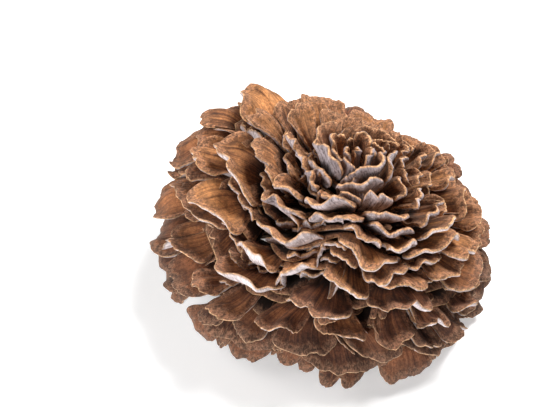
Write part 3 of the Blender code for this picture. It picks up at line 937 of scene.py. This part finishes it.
UPPER = {
    "fronds": 8, "rows": (2, 1, 2, 2), "top": 0.335, "bottom": 0.560, "shortest": 0.92,
    "short_way": math.radians(165), "small": 5, "room": 1.02,
    "cup": 0.0025, "curl": 0.0025, "lobe": 0.035, "ruffle": 0.0016, "rolled": 0.0014,
}
upper_skin = skin_material(
    "upper_skin", lit=(0.525, 0.218, 0.068), middle=(0.210, 0.074, 0.025), dark=(0.032, 0.011, 0.005),
    margin=(0.308, 0.142, 0.070), rim=(0.630, 0.354, 0.168),
    under=(0.880, 0.790, 0.795), under_dark=(0.440, 0.368, 0.372))
grow_tier(growth, "upper", UPPER, upper_skin)

# The lower tier
# Broad fans at the mushroom's widest, level or drooping a little, branching from the side of
# the stem. They are older and firmer than those above, and their skin is browner and
# darker, the darkness partly painted shade under the tiers above.

LOWER = {
    "fronds": 10, "rows": (2, 1, 2, 2), "top": 0.560, "bottom": 0.790, "shortest": 0.92,
    "short_way": math.radians(-115), "small": 5, "room": 1.02,
    "cup": 0.0005, "curl": 0.0020, "lobe": 0.035, "ruffle": 0.0016, "rolled": 0.0014,
}
# darker than the tiers above: partly painted shade
lower_skin = skin_material(
    "lower_skin", lit=(0.402, 0.152, 0.050), middle=(0.166, 0.053, 0.021), dark=(0.027, 0.010, 0.005),
    margin=(0.220, 0.103, 0.056), rim=(0.588, 0.344, 0.176),
    under=(0.880, 0.790, 0.795), under_dark=(0.440, 0.368, 0.372))
grow_tier(growth, "lower", LOWER, lower_skin)

# The skirt
# The oldest fans, branching from the foot of the stem and drooping to the ground all round.
# They are the firmest, and their skin is the darkest, partly painted shade low under the
# fronds above.

SKIRT = {
    "fronds": 10, "rows": (2, 1, 2), "top": 0.790, "bottom": 1.000, "shortest": 0.97,
    "short_way": None, "small": 4, "room": 1.02,
    "cup": -0.0010, "curl": 0.0010, "lobe": 0.035, "ruffle": 0.0016, "rolled": 0.0012,
}
# the darkest skin of all: partly painted shade, under the fronds above
skirt_skin = skin_material(
    "skirt_skin", lit=(0.262, 0.094, 0.037), middle=(0.112, 0.038, 0.017), dark=(0.022, 0.009, 0.005),
    margin=(0.164, 0.082, 0.047), rim=(0.490, 0.300, 0.162),
    under=(0.800, 0.710, 0.712), under_dark=(0.400, 0.330, 0.334))
grow_tier(growth, "skirt", SKIRT, skirt_skin)

# The ground, the light and the camera
# A plain white floor in soft studio light, most of it from above at the back right, before a
# pale backdrop, seen from the height of the photograph's camera.

FLOOR_HALF = 1.3
FLOOR_WHITE = (0.88, 0.88, 0.88)
FLOOR_ROUGHNESS = 0.9
FLOOR_GLOW = 0.30
LIT_HEIGHT = 0.05
SKY_LIGHT = 0.10
BACKDROP = 0.80
ELEVATION = math.radians(41)
LENS = 55
SENSOR = 36
AIM_HEIGHT = 0.052
AIM_DROP = 0.014
# the mushroom's width, in metres and in pixels, and its place off the picture's middle
MUSHROOM_WIDTH = 0.218
MUSHROOM_PIXELS = 327
PICTURE_WIDTH = 533
SHIFT_RIGHT = 58.5
SHIFT_DOWN = 30.5


def add_floor():
    """A square floor at the height of the cut, white and faintly glowing."""
    half = FLOOR_HALF
    corners = [(-half, -half, 0), (half, -half, 0), (half, half, 0), (-half, half, 0)]
    mesh = bpy.data.meshes.new("floor")
    mesh.from_pydata(corners, [], [(0, 1, 2, 3)])
    material, tree, shader = start_material("floor_white")
    shader.inputs["Base Color"].default_value = (*FLOOR_WHITE, 1)
    shader.inputs["Roughness"].default_value = FLOOR_ROUGHNESS
    shader.inputs["Emission Color"].default_value = (1, 1, 1, 1)
    shader.inputs["Emission Strength"].default_value = FLOOR_GLOW
    mesh.materials.append(material)
    floor = bpy.data.objects.new("floor", mesh)
    bpy.context.scene.collection.objects.link(floor)
    return floor


def add_light(name, place, size, power):
    """A square soft light that faces the mushroom."""
    light = bpy.data.lights.new(name, "AREA")
    light.size = size
    light.energy = power
    item = bpy.data.objects.new(name, light)
    item.location = place
    item.rotation_euler = (Vector((0, 0, LIT_HEIGHT)) - Vector(place)).to_track_quat("-Z", "Y").to_euler()
    bpy.context.scene.collection.objects.link(item)


def add_sky():
    """Even light from all round, brighter where the camera itself sees it."""
    sky = bpy.data.worlds.new("studio")
    sky.use_nodes = True
    background = sky.node_tree.nodes["Background"]
    background.inputs[0].default_value = (1, 1, 1, 1)
    seen = add_node(sky.node_tree, "LightPath").outputs["Is Camera Ray"]
    strength = add_range(sky.node_tree, seen, 0, 1, SKY_LIGHT, BACKDROP)
    sky.node_tree.links.new(strength, background.inputs[1])
    bpy.context.scene.world = sky


def add_camera():
    """The camera looks across the object from in front. Its place is set back along its own
    view until the mushroom is as large as in the photograph, and moved sideways and up until
    it is where it is there."""
    camera = bpy.data.cameras.new("camera")
    camera.sensor_width = SENSOR
    camera.sensor_fit = "HORIZONTAL"
    camera.lens = LENS
    item = bpy.data.objects.new("camera", camera)
    pixels = LENS / SENSOR * PICTURE_WIDTH
    distance = pixels * MUSHROOM_WIDTH / MUSHROOM_PIXELS
    back = Vector((0, -math.cos(ELEVATION), math.sin(ELEVATION)))
    aim = (-back).to_track_quat("-Z", "Y")
    right = aim @ Vector((1, 0, 0))
    up = aim @ Vector((0, 1, 0))
    place = Vector((0, 0, AIM_HEIGHT)) + back * distance - up * AIM_DROP
    place = place - right * (SHIFT_RIGHT / pixels * distance) + up * (SHIFT_DOWN / pixels * distance)
    item.rotation_euler = aim.to_euler()
    item.location = place
    bpy.context.scene.collection.objects.link(item)
    bpy.context.scene.camera = item


add_floor()
add_light("key", place=(0.40, 0.30, 1.00), size=0.50, power=20)
add_light("side", place=(-0.85, 0.05, 0.60), size=0.60, power=5)
add_light("fill", place=(-0.55, -0.95, 0.30), size=0.50, power=9.5)
add_sky()
add_camera()
bpy.context.scene.view_settings.view_transform = "Standard"
